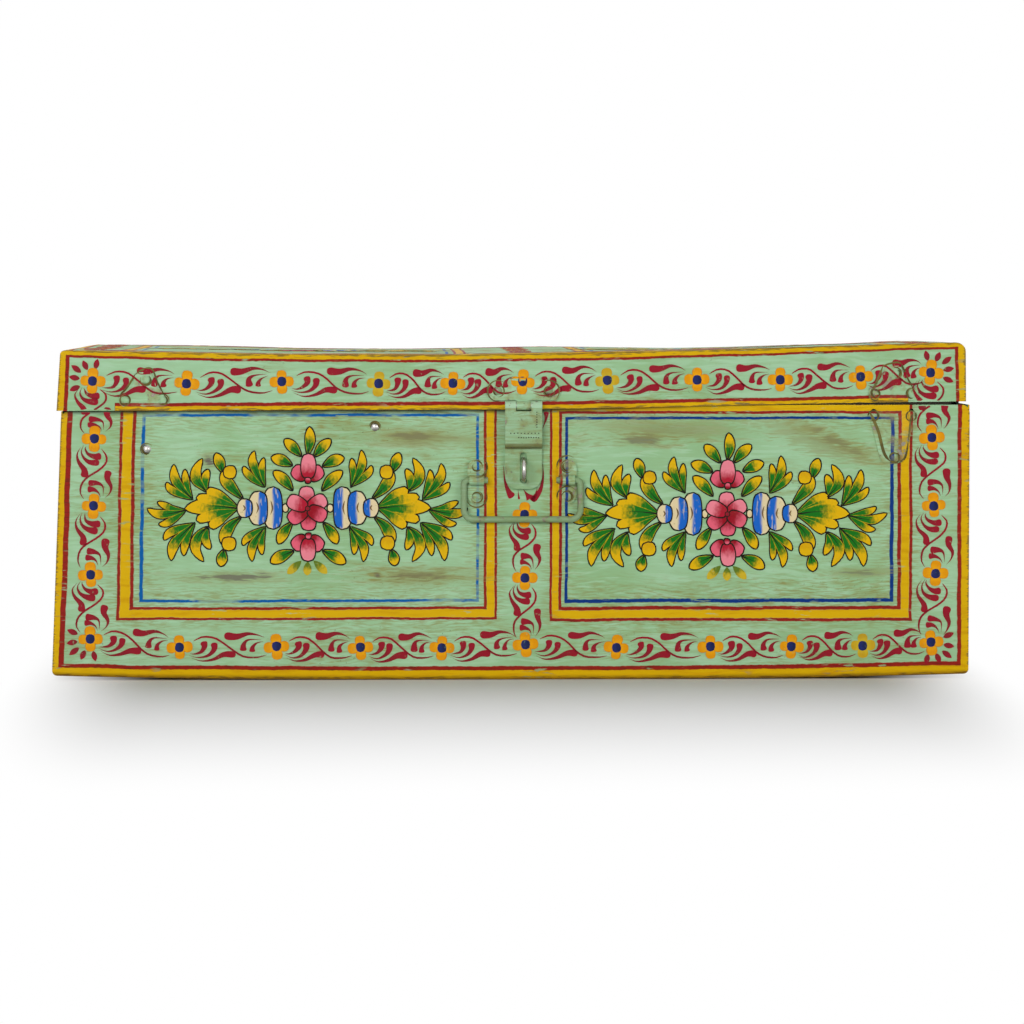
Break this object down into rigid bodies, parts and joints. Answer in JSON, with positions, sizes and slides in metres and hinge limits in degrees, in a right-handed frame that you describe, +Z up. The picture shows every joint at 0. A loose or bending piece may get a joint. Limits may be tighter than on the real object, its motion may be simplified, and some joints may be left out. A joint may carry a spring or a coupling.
{
  "type": "small tin trunk",
  "caption": "Small painted tin trunk with a rear-hinged lid, a hasp that drops over a wire staple and a swinging wire handle on the front.",
  "frame": {"origin": "middle of the base, on the plane that the trunk stands on", "axes": "+X to the right along the front, front face to -Y, +Z up"},
  "size_m": [0.4634, 0.2713, 0.1697],
  "materials": {
    "body_tin": "hand-painted mint green tin with folk borders, satin and worn",
    "lid_tin": "hand-painted mint green tin with folk borders, satin and worn",
    "lip_tin": "thinly painted tin, dull",
    "painted_fittings": "painted over in the body's green, chipped at the edges",
    "bare_wire": "bare steel wire, scratched"
  },
  "bodies": {
    "trunk": {"body_wrap": "body_tin", "body_front": "body_tin", "body_back": "body_tin", "front_lip": "lip_tin", "left_lip": "lip_tin", "right_lip": "lip_tin", "staple": "bare_wire", "handle_ear_left": "painted_fittings", "handle_ear_right": "painted_fittings", "handle_rivets": "painted_fittings", "clasp_plate_body": "painted_fittings", "clasp_rivets_body": "painted_fittings", "leftover_rivets": "painted_fittings", "hinge_left_body_leaf": "painted_fittings", "hinge_right_body_leaf": "painted_fittings", "hinge_left_pin": "bare_wire", "hinge_right_pin": "bare_wire", "hinge_body_rivets": "painted_fittings"},
    "lid": {"lid_wrap": "lid_tin", "lid_front": "lid_tin", "lid_back": "lid_tin", "hinge_left_lid_leaf": "painted_fittings", "hinge_right_lid_leaf": "painted_fittings", "hinge_lid_rivets": "painted_fittings", "hasp_plate": "painted_fittings", "hasp_pin": "bare_wire", "hasp_rivets": "painted_fittings", "clasp_plate_lid_left": "painted_fittings", "clasp_plate_lid_right": "painted_fittings", "clasp_rivets_lid": "painted_fittings"},
    "hasp": {"hasp_strap": "painted_fittings"},
    "handle": {"handle": "painted_fittings"}
  },
  "joints": [
    {"name": "lid_hinge", "type": "hinge", "parent": "trunk", "child": "lid", "pos_m": [0, 0.1296, 0.136], "axis": [-1, 0, 0], "range_deg": [0, 175]},
    {"name": "hasp_hinge", "type": "hinge", "parent": "lid", "child": "hasp", "pos_m": [0.006, -0.1305, 0.1383], "axis": [-1, 0, 0], "range_deg": [0, 150]},
    {"name": "handle_swing", "type": "hinge", "parent": "trunk", "child": "handle", "pos_m": [0.0053, -0.1297, 0.1008], "axis": [-1, 0, 0], "range_deg": [0, 155]}
  ]
}
